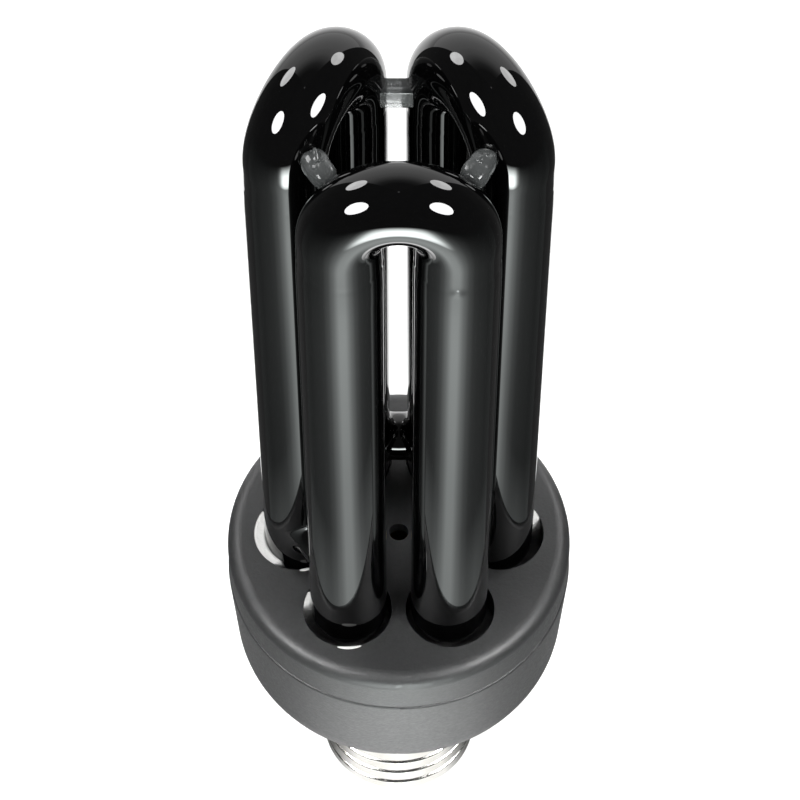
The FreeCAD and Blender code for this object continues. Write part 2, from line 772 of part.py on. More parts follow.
def make_choke():
    """A double-E ferrite core under the board, with a bobbin and its winding on the middle limb."""
    x, y = "choke_x", "choke_y"
    foot = f"({BOARD_UNDER} - core_height)"
    window = "(core_width - core_limb - 2 * core_yoke) / 2"
    opening = "(core_height - 2 * core_yoke)"
    outer = centred("core_block", ("core_width", "core_depth", "core_height"), x, y, foot)
    windows = []
    for number, side in enumerate(("-", "+"), start=1):
        middle = f"{x} {side} (core_limb + {window}) / 2"
        size = (window, "core_depth", opening)
        windows.append(centred(f"core_window_{number}", size, middle, y, f"{foot} + core_yoke"))
    cut("choke_core", outer, fused("core_windows", windows))

    hole = ("core_limb + 2 * bobbin_fit", "core_depth + 2 * bobbin_fit")
    barrel = tuple(f"{width} + 2 * bobbin_wall" for width in hole)
    tall = f"({opening} - 2 * bobbin_fit)"
    low = f"({foot} + core_yoke + bobbin_fit)"
    wide = f"(core_limb + 2 * ({window}) - 2 * bobbin_fit)"
    middle_low = f"({foot} + core_height / 2 - winding_height / 2)"
    tube = centred("bobbin_barrel", barrel + (tall,), x, y, low)
    end = (wide, "bobbin_flange", f"({tall} - winding_height) / 2")
    ends = [
        centred("bobbin_end_low", end, x, y, low),
        centred("bobbin_end_high", end, x, y, f"{middle_low} + winding_height"),
    ]
    solid = fused("bobbin_solid", [tube] + ends)
    cut("choke_bobbin", solid, centred("bobbin_hole", hole + (tall,), x, y, low))

    coil_size = (f"({wide}) - 2 * bobbin_fit", "winding_depth", "winding_height")
    coil = centred("winding_block", coil_size, x, y, middle_low)
    doc.recompute()
    rounding = doc.addObject("Part::Fillet", "winding_rounded")
    rounding.Base = coil
    radius = value("winding_round")
    rounding.Edges = [(number, radius, radius) for number, edge in enumerate(coil.Shape.Edges, start=1)
                      if edge.BoundBox.ZLength > radius]
    hole = centred("winding_hole", barrel + ("winding_height",), x, y, middle_low)
    cut("choke_winding", rounding, hole)


def make_toroid():
    """A small ring core under the board with three short windings."""
    level = f"{BOARD_UNDER} - toroid_section / 2 - coil_wire_dia - coil_fit"
    swing = "(toroid_dia - toroid_section) / 2"
    ring = doc.addObject("Part::Torus", "drive_toroid")
    bind(ring, "Radius1", swing)
    bind(ring, "Radius2", "toroid_section / 2")
    place(ring, "toroid_x", "toroid_y", level)
    turns = []
    for start in (20, 140, 260):
        for step in range(3):
            angle = start + 16 * step
            turn = doc.addObject("Part::Torus", f"toroid_turn_{angle}")
            heading = math.radians(angle)
            turn_to(turn, FreeCAD.Vector(math.cos(heading), math.sin(heading), 0), 90)
            bind(turn, "Radius1", "(toroid_section + coil_wire_dia) / 2 + coil_fit")
            bind(turn, "Radius2", "coil_wire_dia / 2")
            x = f"toroid_x + {swing} * cos({angle})"
            y = f"toroid_y + {swing} * sin({angle})"
            turns.append(place(turn, x, y, level))
    group("toroid_winding", turns)


def make_transistors():
    """Two transistors standing under the board on three leads each."""
    pair = []
    for number, side in enumerate(("-", "+"), start=1):
        y = f"transistors_y {side} transistor_spread / 2"
        foot = f"({BOARD_UNDER} - transistor_lead - transistor_height)"
        size = ("transistor_thick", "transistor_width", "transistor_height")
        pieces = [centred(f"transistor_case_{number}", size, "transistors_x", y, foot)]
        for step in (-1, 0, 1):
            where = ("transistors_x", f"{y} + {step} * lead_pitch", f"{foot} + transistor_height")
            name = f"transistor_lead_{number}_{step + 2}"
            pieces.append(rod(name, "part_lead_dia", "transistor_lead", where))
        pair.append(fused(f"transistor_{number}", pieces))
    group("switch_transistors", pair)


def make_board():
    rod("circuit_board", "board_dia", "board_thick", ("0", "0", BOARD_UNDER))
    make_bulk_capacitor()
    make_choke()
    make_toroid()
    make_transistors()
    axial_set("rectifier_diodes", "diode_dia", "diode_length", "diode_pitch", 4, "diodes")
    axial_set("resistors", "resistor_dia", "resistor_length", "resistor_pitch", 2, "resistors")
    axial_part("trigger_diode", "trigger_dia", "trigger_length", "trigger_x", "trigger_y")
    film_capacitor("resonant")
    film_capacitor("coupling")


NODES = [
    "discharge_tube", "bond_pad_back", "bond_pad_left", "bond_pad_right", "tube_cement",
    "tube_cover", "housing_cup", "cap_shell", "cap_insulator", "centre_contact", "contact_solder",
    "circuit_board", "bulk_capacitor", "choke_core", "choke_bobbin", "choke_winding",
    "drive_toroid", "toroid_winding", "switch_transistors", "rectifier_diodes", "resistors",
    "trigger_diode", "resonant_capacitor", "coupling_capacitor", "fusible_resistor",
    "live_lead", "neutral_lead", "tube_leads",
]


def write_parts():
    """Checks every object and writes one file for each piece."""
    for thing in doc.Objects:
        if "Invalid" in thing.State or "Error" in thing.State:
            raise RuntimeError(f"{thing.Label} did not build: {thing.State}")
    pieces = {thing.Label: thing for thing in doc.Objects}
    for node in NODES:
        shape = pieces[node].Shape
        if shape.isNull() or not shape.isValid() or not shape.Solids:
            raise RuntimeError(f"{node} has no valid solid")
    os.makedirs("parts", exist_ok=True)
    for node in NODES:
        shape = pieces[node].Shape
        shape.exportStep(f"parts/{node}.step")
        print(f"{node}: {len(shape.Solids)} solids, {shape.Volume:.1f} mm3")


vessel = make_vessel()
make_back_pad(vessel)
make_side_pad("bond_pad_left", 210, vessel)
make_side_pad("bond_pad_right", 330, vessel)
make_cover()
make_cup()
make_shell()
make_cap_foot()
make_board()
make_leads()
make_cement(vessel, make_electrode_wires(vessel))
doc.recompute()
write_parts()
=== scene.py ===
import json
import math

import bmesh
import bpy
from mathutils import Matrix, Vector


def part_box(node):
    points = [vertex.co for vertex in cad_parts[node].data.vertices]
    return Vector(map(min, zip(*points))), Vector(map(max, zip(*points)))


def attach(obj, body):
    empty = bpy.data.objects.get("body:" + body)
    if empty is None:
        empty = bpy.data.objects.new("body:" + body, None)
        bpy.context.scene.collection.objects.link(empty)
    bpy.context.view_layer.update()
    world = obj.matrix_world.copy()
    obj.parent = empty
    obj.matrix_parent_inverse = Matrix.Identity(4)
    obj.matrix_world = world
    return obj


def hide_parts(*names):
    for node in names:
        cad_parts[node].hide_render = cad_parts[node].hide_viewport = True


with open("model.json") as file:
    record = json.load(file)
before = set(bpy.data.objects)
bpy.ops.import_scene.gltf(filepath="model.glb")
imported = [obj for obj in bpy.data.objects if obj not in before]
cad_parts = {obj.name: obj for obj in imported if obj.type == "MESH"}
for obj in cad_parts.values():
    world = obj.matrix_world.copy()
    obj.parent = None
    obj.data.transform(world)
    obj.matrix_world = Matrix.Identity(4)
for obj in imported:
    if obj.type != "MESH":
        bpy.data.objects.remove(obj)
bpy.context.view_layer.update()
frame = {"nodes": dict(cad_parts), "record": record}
nodes = frame["nodes"]
scene = bpy.context.scene
scene.view_settings.view_transform = "Standard"

COVER_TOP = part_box("tube_cover")[1].z
# The angle of the lamp's front, which faces -Y.
FRONT = 3 * math.pi / 2


# Materials

def math_node(tree, operation, *sources):
    """One step of arithmetic on sockets and numbers."""
    node = tree.nodes.new("ShaderNodeMath")
    node.operation = operation
    for socket, source in zip(node.inputs, sources):
        if isinstance(source, (int, float)):
            socket.default_value = source
        else:
            tree.links.new(source, socket)
    return node.outputs[0]


class Shader:
    """One procedural material, with short calls to add its nodes."""

    def __init__(self, name):
        self.material = bpy.data.materials.new(name)
        self.material.use_nodes = True
        self.tree = self.material.node_tree
        self.surface = self.tree.nodes["Principled BSDF"]
        self.place = self.add("ShaderNodeTexCoord").outputs["Object"]

    def add(self, kind):
        return self.tree.nodes.new(kind)

    def link(self, source, target):
        self.tree.links.new(source, target)

    def set(self, **values):
        """Plain values on the surface's own sockets."""
        for key, value in values.items():
            self.surface.inputs[key.replace("_", " ")].default_value = value

    def calc(self, operation, *sources):
        return math_node(self.tree, operation, *sources)

    def axis(self, name):
        """How far a point lies along one of the object's axes."""
        parts = self.add("ShaderNodeSeparateXYZ")
        self.link(self.place, parts.inputs[0])
        return parts.outputs[name]

    def noise(self, scale, detail=2.0, roughness=0.5):
        """A noise value over the object, with scale in waves per metre."""
        node = self.add("ShaderNodeTexNoise")
        node.inputs["Scale"].default_value = scale
        node.inputs["Detail"].default_value = detail
        node.inputs["Roughness"].default_value = roughness
        self.link(self.place, node.inputs["Vector"])
        return node.outputs["Fac"]

    def ramp(self, value, stops):
        """Colours along a value: stops are (position, colour)."""
        node = self.add("ShaderNodeValToRGB")
        elements = node.color_ramp.elements
        while len(elements) < len(stops):
            elements.new(0.5)
        for element, (position, colour) in zip(elements, stops):
            element.position = position
            element.color = (*colour, 1)
        self.link(value, node.inputs["Fac"])
        return node.outputs["Color"]

    def grey_ramp(self, value, stops):
        """Brightness along a value: stops are (position, brightness)."""
        return self.ramp(value, [(position, (v, v, v)) for position, v in stops])

    def range(self, value, low, high, from_low=0.3, from_high=0.7):
        """The value mapped to a new range."""
        node = self.add("ShaderNodeMapRange")
        node.inputs["From Min"].default_value = from_low
        node.inputs["From Max"].default_value = from_high
        node.inputs["To Min"].default_value = low
        node.inputs["To Max"].default_value = high
        self.link(value, node.inputs["Value"])
        return node.outputs["Result"]

    def colour(self, socket):
        self.link(socket, self.surface.inputs["Base Color"])

    def roughness(self, socket):
        self.link(socket, self.surface.inputs["Roughness"])

    def bump(self, height, distance, strength):
        """Relief, with distance in metres."""
        node = self.add("ShaderNodeBump")
        node.inputs["Distance"].default_value = distance
        node.inputs["Strength"].default_value = strength
        self.link(height, node.inputs["Height"])
        self.link(node.outputs["Normal"], self.surface.inputs["Normal"])


def black_glass():
    """Polished black glass, with a duller film on the feet where they were cemented."""
    s = Shader("black_glass")
    s.set(IOR=1.52)
    dark, light = (0.0006, 0.0006, 0.0007), (0.0016, 0.0016, 0.0017)
    s.colour(s.ramp(s.noise(45, 3), [(0.3, dark), (0.7, light)]))
    s.roughness(s.range(s.noise(120, 3), 0.003, 0.012))
    s.bump(s.noise(35, 1), 0.0003, 0.1)
    film = s.range(s.axis("Z"), 0.2, 0.5, COVER_TOP + 0.003, COVER_TOP + 0.011)
    s.link(film, s.surface.inputs["Specular IOR Level"])
    return s.material


def silicone():
    """Clear where it is thin, low on the left of the back pad, and a smoky grey elsewhere."""
    s = Shader("silicone")
    s.set(IOR=1.41)
    height = s.range(s.axis("Z"), 0.0, 1.0, COVER_TOP + 0.0962, COVER_TOP + 0.0982)
    grain = s.range(s.noise(420, 3), -0.15, 0.15)
    right = s.range(s.axis("X"), 0.0, 0.6, 0.0002, 0.0006)
    level = s.calc("ADD", s.calc("ADD", height, grain), right)
    clear, smoky, dark = (0.9, 0.92, 0.92), (0.17, 0.178, 0.178), (0.1, 0.106, 0.106)
    s.colour(s.ramp(level, [(0.2, clear), (0.6, smoky), (1.0, dark)]))
    s.link(s.range(level, 0.97, 0.4, 0.2, 0.7), s.surface.inputs["Transmission Weight"])
    s.roughness(s.range(s.noise(900, 2), 0.1, 0.3))
    s.bump(s.noise(380, 2), 0.0003, 0.1)
    return s.material


def cement():
    """White where it was laid up to the cover, and darker with depth in the sockets: painted shade for the
    deep recess.
    """
    s = Shader("cement")
    height = s.range(s.axis("Z"), 0.0, 1.0, COVER_TOP - 0.006, COVER_TOP)
    grain = s.range(s.noise(900, 4), -0.08, 0.08)
    level = s.calc("ADD", height, grain)
    # The dark and grey stops deep down are painted shade in the socket; the white is the cement's own colour.
    deep_painted_shade, grey, white = (0.1, 0.1, 0.1), (0.3, 0.3, 0.29), (0.97, 0.97, 0.95)
    s.colour(s.ramp(level, [(0.2, deep_painted_shade), (0.55, grey), (0.75, white)]))
    s.roughness(s.range(s.noise(1500, 2), 0.75, 0.95))
    s.bump(s.noise(1100, 4), 0.0003, 0.6)
    return s.material


def housing_plastic():
    """Dark grey moulding with a fine texture."""
    s = Shader("housing_plastic")
    s.set(IOR=1.5, Specular_IOR_Level=0.8)
    fine = s.noise(2300, 3, 0.6)
    speckle = s.noise(1500, 4, 0.65)
    s.colour(s.ramp(speckle, [(0.3, (0.012, 0.0123, 0.0127)), (0.7, (0.028, 0.0285, 0.029))]))
    s.roughness(s.range(speckle, 0.4, 0.58))
    s.bump(fine, 0.00008, 0.5)
    return s.material


def cap_metal():
    """Bright nickel plate, a little uneven."""
    s = Shader("cap_metal")
    s.set(Metallic=1.0)
    s.colour(s.ramp(s.noise(150, 4), [(0.3, (0.78, 0.76, 0.71)), (0.7, (0.88, 0.87, 0.84))]))
    s.roughness(s.range(s.noise(700, 3), 0.12, 0.22))
    s.bump(s.noise(400, 2), 0.0001, 0.2)
    return s.material


def plain(name, low, high, rough, metallic=0.0):
    """A quiet two-tone finish for the pieces inside and at the foot of the cap."""
    s = Shader(name)
    s.set(Metallic=metallic)
    s.colour(s.ramp(s.noise(300, 3), [(0.3, low), (0.7, high)]))
    s.roughness(s.range(s.noise(900, 2), *rough))
    s.bump(s.noise(1200, 2), 0.0001, 0.4)
    return s.material


# By slot: the darker and the lighter colour, the range of roughness and, for metals, how metallic.
PLAIN_FINISHES = {
    "cap_glass": ((0.01, 0.01, 0.013), (0.025, 0.025, 0.03), (0.08, 0.2)),
    "contact_brass": ((0.62, 0.47, 0.2), (0.74, 0.6, 0.3), (0.25, 0.4), 1.0),
    "solder": ((0.5, 0.5, 0.5), (0.66, 0.66, 0.67), (0.3, 0.5), 1.0),
    "board": ((0.42, 0.3, 0.13), (0.55, 0.4, 0.2), (0.5, 0.7)),
    "capacitor_sleeve": ((0.02, 0.02, 0.025), (0.045, 0.045, 0.05), (0.25, 0.4)),
    "ferrite": ((0.05, 0.05, 0.055), (0.1, 0.1, 0.105), (0.5, 0.7)),
    "bobbin_plastic": ((0.6, 0.58, 0.52), (0.72, 0.7, 0.65), (0.4, 0.55)),
    "copper": ((0.45, 0.18, 0.07), (0.62, 0.28, 0.12), (0.2, 0.35), 0.8),
    "component_black": ((0.02, 0.02, 0.022), (0.045, 0.045, 0.05), (0.35, 0.5)),
    "resistor_body": ((0.45, 0.35, 0.2), (0.58, 0.48, 0.32), (0.4, 0.55)),
    "component_blue": ((0.06, 0.11, 0.3), (0.1, 0.18, 0.42), (0.25, 0.4)),
    "film_red": ((0.32, 0.06, 0.03), (0.45, 0.1, 0.06), (0.3, 0.45)),
    "lead_metal": ((0.55, 0.54, 0.52), (0.72, 0.71, 0.68), (0.25, 0.4), 1.0),
}
FINISHES = {
    "black_glass": black_glass(),
    "silicone": silicone(),
    "cement": cement(),
    "housing_plastic": housing_plastic(),
    "cap_metal": cap_metal(),
}
FINISHES.update({slot: plain(slot, *facts) for slot, facts in PLAIN_FINISHES.items()})

for part in frame["record"]["subparts"]:
    mesh = nodes[part["node"]].data
    mesh.materials.clear()
    mesh.materials.append(FINISHES[part["material_slot"]])


# The glass tubes

TUBE_RADIUS = 0.006
HALF_PITCH = 0.007875
BEND_OFFSET = 0.01311
SPRINGING = COVER_TOP + 0.09723
TAPER = 0.010
SPRING_RADIUS = 0.005835
# A bend is flattened at its top: half its thickness in its own plane, and across it.
APEX_RADIUS = 0.00523
APEX_ACROSS = 0.0057
# The part of the bend, in degrees up from the springing, before the bore narrows.
EVEN_BEND = 5
# How far below the cover's top the round foot of a leg begins, and where its first ring lies, in degrees.
DOME_DROP = 0.00047
DOME_START = -89
# Points round a tube, and steps along its foot, its leg, the leg's taper and its bend.
AROUND = 128
DOME_STEPS, LEG_STEPS, TAPER_STEPS, BEND_STEPS = 13, 12, 40, 60
# Where each bend was joined to its legs: the height, and the depth and half-width of the faint crease.
JOINT = SPRINGING - 0.00425
CREASE_DEPTH = 0.00002
CREASE_WIDTH = 0.0006
# A small pip of glass on the front of one leg: the leg's bend and side, and the pip's height and half-width.
PIP_LEG = (0, 1)
PIP_LIFT = 0.00011
PIP_WIDTH = 0.0007
# The bends by their angle about the lamp, and how far a bend's right leg leans to the lamp's left at its top.
BENDS = {0: 0.0, 120: 0.0006, 240: 0.0}
# The two bridges between neighbouring legs, by the angles of the bends they belong to and the side.
BRIDGES = [((240, -1), (120, 1)), ((0, -1), (240, 1))]
BRIDGE_LEVEL = COVER_TOP + 0.00756
BRIDGE_RADIUS = 0.003875
BRIDGE_BLEND = 0.0015
# How far a bridge's end rings are sunk into the legs, its points around, its steps each way, and how
# often the search for its surface is halved.
BRIDGE_SUNK = 0.00004
BRIDGE_AROUND, BRIDGE_STEPS = 64, 14
HALVINGS = 32


def turned_about_axis(point, degrees):
    c, s = math.cos(math.radians(degrees)), math.sin(math.radians(degrees))
    return (point[0] * c - point[1] * s, point[0] * s + point[1] * c, point[2])


def leg_foot(bend, side):
    return Vector(turned_about_axis((side * HALF_PITCH, -BEND_OFFSET, 0.0), bend))


def eased(share):
    """A share from 0 to 1 that starts and ends gently."""
    share = min(1.0, max(0.0, share))
    return share * share * (3 - 2 * share)


def leg_sections():
    """Heights and radii up one leg, from the foot of its dome to the start of the bend."""
    dome = COVER_TOP - DOME_DROP
    sections = []
    for i in range(DOME_STEPS + 1):
        lift = math.radians(DOME_START - DOME_START * i / DOME_STEPS)
        sections.append((dome + TUBE_RADIUS * math.sin(lift), TUBE_RADIUS * math.cos(lift)))
    start = SPRINGING - TAPER
    heights = [dome + (start - dome) * i / LEG_STEPS for i in range(1, LEG_STEPS + 1)]
    heights += [start + TAPER * i / TAPER_STEPS for i in range(1, TAPER_STEPS)]
    for z in heights:
        radius = TUBE_RADIUS + (SPRING_RADIUS - TUBE_RADIUS) * eased((z - start) / TAPER)
        crease = CREASE_DEPTH * math.exp(-((z - JOINT) / CREASE_WIDTH) ** 2)
        sections.append((z, radius - crease))
    return sections


def bend_radii(turn):
    """Half the tube's thickness round its bend, in the bend's plane and across it."""
    rise = math.pi / 2 - abs(turn - math.pi / 2)
    even = math.radians(EVEN_BEND)
    share = eased((rise - even) / (math.pi / 2 - even))
    return tuple(SPRING_RADIUS + (apex - SPRING_RADIUS) * share for apex in (APEX_RADIUS, APEX_ACROSS))


def pip_height(bend, side, z, angle):
    """How far the pip lifts the glass, at a height and an angle about a leg."""
    if (bend, side) != PIP_LEG:
        return 0.0
    round_leg = TUBE_RADIUS * (angle - FRONT)
    return PIP_LIFT * math.exp(-(round_leg ** 2 + (z - JOINT) ** 2) / PIP_WIDTH ** 2)


def u_tube(bend):
    """Rings of points along one tube: up its left leg, round the bend and down its right leg."""
    sections = leg_sections()
    path = [((-HALF_PITCH, z), (-1.0, 0.0), (r, r), -1) for z, r in sections]
    for i in range(BEND_STEPS + 1):
        turn = math.pi * i / BEND_STEPS
        out = (-math.cos(turn), math.sin(turn))
        path.append(((HALF_PITCH * out[0], SPRINGING + HALF_PITCH * out[1]), out, bend_radii(turn), 0))
    path += [((HALF_PITCH, z), (1.0, 0.0), (r, r), 1) for z, r in reversed(sections)]
    rings = []
    for (x, z), (out_x, out_z), (plane, across), side in path:
        height = (z - COVER_TOP) / (SPRINGING - COVER_TOP)
        lean = BENDS[bend] * height * (x + HALF_PITCH) / (2 * HALF_PITCH)
        ring = []
        for k in range(AROUND):
            angle = math.tau * k / AROUND
            pip = pip_height(bend, side, z, angle)
            out, aside = (plane + pip) * math.cos(angle), (across + pip) * math.sin(angle)
            point = turned_about_axis((x + out * out_x, -BEND_OFFSET + aside, z + out * out_z), bend)
            ring.append((point[0] - lean, *point[1:]))
        rings.append(ring)
    return rings


def blended(a, b):
    """The lesser of two distances, rounded where they are alike."""
    near = max(BRIDGE_BLEND - abs(a - b), 0.0) / BRIDGE_BLEND
    return min(a, b) - near * near * BRIDGE_BLEND / 4


def crossing(distance, low, high):
    """Where a distance that is of opposite signs at two places comes to zero between them."""
    rising = distance(high) > 0
    for _ in range(HALVINGS):
        middle = (low + high) / 2
        if (distance(middle) > 0) == rising:
            high = middle
        else:
            low = middle
    return (low + high) / 2


def bridge(start, end):
    """Rings of points along a neck of glass that runs smoothly into the two legs it joins."""
    middle = (start + end) / 2
    way = (end - start).normalized()
    aside = Vector((-way.y, way.x, 0.0))
    half = (end - start).length / 2

    def surface(along, across, up):
        legs = [math.hypot(along - foot, across) - TUBE_RADIUS for foot in (-half, half)]
        return blended(blended(*legs), math.hypot(across, up) - BRIDGE_RADIUS)

    steps = BRIDGE_STEPS
    wide = BRIDGE_RADIUS + BRIDGE_BLEND
    rings = [[] for _ in range(2 * steps + 1)]
    for k in range(BRIDGE_AROUND):
        u = math.tau * k / BRIDGE_AROUND
        c, s = math.cos(u), math.sin(u)
        waist = crossing(lambda r: surface(0.0, r * c, r * s), 0.0, wide)
        for i in range(-steps, steps + 1):
            radius = waist + (wide - waist) * (i / steps) ** 2
            along = crossing(lambda a: surface(a, radius * c, radius * s), 0.0, half) if i else 0.0
            sunk = BRIDGE_SUNK if abs(i) == steps else 0.0
            point = middle + way * math.copysign(along + sunk, i) + aside * (radius * c)
            rings[i + steps].append((point.x, point.y, BRIDGE_LEVEL + radius * s))
    return rings


def closed_tubes(name, tubes, slot, node, hollow=False):
    """One smooth piece from closed tubes given as rings of points, in place of a node.

    A hollow tube's last ring joins its first, and the others are closed at both ends."""
    vertices, faces = [], []
    for rings in tubes:
        base, count = len(vertices), len(rings[0])
        for ring in rings:
            vertices.extend(ring)
        for r in range(len(rings) if hollow else len(rings) - 1):
            p, q = base + r * count, base + (r + 1) % len(rings) * count
            for i in range(count):
                j = (i + 1) % count
                faces.append((p + i, p + j, q + j, q + i))
        if not hollow:
            last = base + (len(rings) - 1) * count
            faces.append(tuple(base + i for i in reversed(range(count))))
            faces.append(tuple(last + i for i in range(count)))
    mesh = bpy.data.meshes.new(name)
    mesh.from_pydata(vertices, [], faces)
    shape = bmesh.new()
    shape.from_mesh(mesh)
    bmesh.ops.recalc_face_normals(shape, faces=shape.faces)
    shape.to_mesh(mesh)
    shape.free()
    mesh.shade_smooth()
    mesh.materials.append(FINISHES[slot])
    piece = bpy.data.objects.new(name, mesh)
    scene.collection.objects.link(piece)
    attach(piece, "root")
    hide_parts(node)


glass = [u_tube(bend) for bend in BENDS]
glass += [bridge(leg_foot(*a), leg_foot(*b)) for a, b in BRIDGES]
closed_tubes("glass_tubes", glass, "black_glass", "discharge_tube")


# Side pads

# By node: the pad's angle about the lamp, whether its tip is drawn outwards (1) or inwards (-1), and
# how long the tip is, as a share of the pad's size.
SIDE_PADS = {"bond_pad_left": (210, -1, 0.6), "bond_pad_right": (330, 1, 0.25)}
PAD_REACH = 0.0122
PAD_LEVEL = SPRINGING + 0.006
# Half the pad's size outwards, along the gap, and up, and how square it is: 2 would be an ellipsoid.
PAD_HALF = (0.0018, 0.003, 0.0016)
PAD_SQUARE = 3.0
# How uneven it is, as shares of its size, in large lumps and in small ones.
PAD_LUMPS, PAD_RIPPLES = 0.05, 0.02
# The way the tip points: backwards, upwards, and outwards or inwards. Its spread is in radians.
TIP_BACK, TIP_UP, TIP_OUT = 0.5, 0.87, 0.1
TIP_SPREAD = 0.24
# Points around, steps up, and how far from level the first and last rings lie, in degrees.
PAD_AROUND, PAD_STEPS = 48, 32
PAD_POLE = 88.5


def side_pad(angle, tip_side, tip_length):
    """Rings of points over a lump of silicone with a tip that was drawn out along the glass."""
    a = math.radians(angle)
    out = Vector((math.cos(a), math.sin(a), 0.0))
    along = Vector((-math.sin(a), math.cos(a), 0.0))
    centre = out * PAD_REACH + Vector((0.0, 0.0, PAD_LEVEL))
    back = along if along.y > 0 else -along
    tip = (TIP_BACK * back + Vector((0.0, 0.0, TIP_UP)) + TIP_OUT * tip_side * out).normalized()
    rings = []
    for i in range(PAD_STEPS + 1):
        lift = math.radians(-PAD_POLE + 2 * PAD_POLE * i / PAD_STEPS)
        ring = []
        for k in range(PAD_AROUND):
            turn = math.tau * k / PAD_AROUND
            level = math.cos(lift)
            way = Vector((level * math.cos(turn), level * math.sin(turn), math.sin(lift)))
            size = sum((abs(w) / h) ** PAD_SQUARE for w, h in zip(way, PAD_HALF)) ** (-1 / PAD_SQUARE)
            lumps = PAD_LUMPS * math.sin(3 * turn + angle) * math.cos(2 * lift)
            size *= 1 + lumps + PAD_RIPPLES * math.sin(5 * turn + 4 * lift)
            heading = out * way.x + along * way.y + Vector((0.0, 0.0, way.z))
            size *= 1 + tip_length * math.exp(-(heading.angle(tip) / TIP_SPREAD) ** 2)
            ring.append(tuple(centre + heading * size))
        rings.append(ring)
    return rings


for node, facts in SIDE_PADS.items():
    closed_tubes(node.replace("bond", "silicone"), [side_pad(*facts)], "silicone", node)


# Screw cap

CAP_PITCH = 0.003629
CAP_CREST = 0.0131
CAP_ROOT = 0.01235
# A groove's height at the front of the cap, and how much of a pitch half a groove takes.
GROOVE_LEVEL = 0.0087
GROOVE_HALF = 0.17
# How much the crests are rounded: four times the fall from the middle of a crest to a groove.
CREST_FALL = 0.00025
# The heights between which the thread runs, and over which it fades at its ends.
THREAD_ENDS = (0.0051, 0.0252)
THREAD_FADE = 0.0012
# The cap's plain outline as radius and height, from its mouth up to the rim, and down the inside.
CAP_FOOT = [(0.01, 0.0044), (0.0112, 0.00445), (0.0119, 0.0046), (0.01225, 0.0048)]
CAP_RIM = [(0.01235, 0.0258), (0.0134, 0.0259), (0.0136, 0.0261), (0.0136, 0.0269), (0.0135, 0.027)]
CAP_INSIDE = [(0.01205, 0.027), (0.01205, 0.0066), (0.0118, 0.0058), (0.0112, 0.0051), (0.01, 0.0047)]
# Points around the cap, and steps up its thread.
CAP_AROUND, THREAD_STEPS = 128, 150


def thread_radius(turn, z):
    """The cap's radius at an angle and a height: wide round crests between narrow grooves."""
    groove = GROOVE_LEVEL + CAP_PITCH * (turn - FRONT) / math.tau
    phase = (z - groove) / CAP_PITCH
    off = abs(phase - round(phase))
    low, high = THREAD_ENDS
    depth = eased((z - low) / THREAD_FADE) * eased((high - z) / THREAD_FADE)
    cut = (CAP_CREST - CAP_ROOT) * (1 - eased(off / GROOVE_HALF))
    crest = CAP_CREST - cut - CREST_FALL * (0.5 - off) ** 2
    return CAP_ROOT + (crest - CAP_ROOT) * depth


def cap_rings():
    """Rings of points up the outside of the cap and down its inside."""
    turns = [math.tau * k / CAP_AROUND for k in range(CAP_AROUND)]
    low, high = THREAD_ENDS
    heights = [low + (high - low) * i / THREAD_STEPS for i in range(THREAD_STEPS + 1)]
    rings = [[(r, z)] * CAP_AROUND for r, z in CAP_FOOT]
    rings += [[(thread_radius(turn, z), z) for turn in turns] for z in heights]
    rings += [[(r, z)] * CAP_AROUND for r, z in CAP_RIM + CAP_INSIDE]
    return [[(r * math.cos(t), r * math.sin(t), z) for t, (r, z) in zip(turns, ring)] for ring in rings]


closed_tubes("cap_thread", [cap_rings()], "cap_metal", "cap_shell", hollow=True)


# Cement in the sockets, and painted highlights on their rims

HOLE_RADIUS = 0.00697
HOLE_CIRCLE = 0.016155
SOCKET_DEPTH = 0.0084
# The leg in each hole, by the hole's angle about the lamp: the angle of its bend and its side.
LEGS = {240: (0, -1), 300: (0, 1), 0: (120, -1), 60: (120, 1), 120: (240, -1), 180: (240, 1)}
# Depths of the cement below the cover's top: where it lies low, how much that varies, where it was
# laid high, and where it ends on the foot of the leg.
LOW_CEMENT = 0.0056
LOW_CHANGE = 0.0003
HIGH_DEPTH = 0.00012
CEMENT_END = 0.0064
# For the holes where cement was laid up to the cover: the hole's angle about the lamp, then the
# range of angles about the hole. The cement falls away over some degrees at the ends of the range.
HIGH_CEMENT = {180: (140, 243), 240: (149, 184), 0: (18, 52)}
HIGH_EDGE = 10
# How far the cement's top sags between the wall and the leg, and how clear it stays of the glass.
CEMENT_SAG = 0.00006
CEMENT_CLEAR = 0.00002
# Rings across the top of the cement, and down the foot of the leg.
TOP_RINGS, FOOT_RINGS = 5, 6
# Painted highlights: thin white strips in the cement's finish along the rims, where the holes' edges catch
# the light. By strip: the hole's angle, the angle about the hole, and half the strip's length.
PAINTED_GLINTS = [(240, 273, 0.0021), (180, 281, 0.001)]
# A strip's middle lies outside the hole's edge and below the cover's top, with half its width and height.
GLINT_OUT, GLINT_SUNK = 0.00012, 0.00005
GLINT_WIDTH, GLINT_HEIGHT = 0.00028, 0.00012
# Points around a strip, steps each way along it, and the part of a step it stops short of its ends.
GLINT_AROUND, GLINT_STEPS, GLINT_SHORT = 16, 8, 0.2


def hole_centre(hole_angle):
    a = math.radians(hole_angle)
    return (HOLE_CIRCLE * math.cos(a), HOLE_CIRCLE * math.sin(a))


def tube_radius_at(depth):
    """The radius of a leg's foot at a depth below the cover's top."""
    below = max(0.0, depth - DOME_DROP)
    return math.sqrt(max(0.0, TUBE_RADIUS ** 2 - below ** 2)) + CEMENT_CLEAR


def cement_depth(hole_angle, angle):
    """How deep the cement lies below the cover's top, at an angle about its hole."""
    low = LOW_CEMENT + LOW_CHANGE * math.sin(3 * math.radians(angle) + hole_angle)
    if hole_angle not in HIGH_CEMENT:
        return low
    start, end = HIGH_CEMENT[hole_angle]
    middle, half = (start + end) / 2, (end - start) / 2
    off = abs((angle - middle + 180) % 360 - 180)
    return low + (HIGH_DEPTH - low) * eased((half + HIGH_EDGE / 2 - off) / HIGH_EDGE)


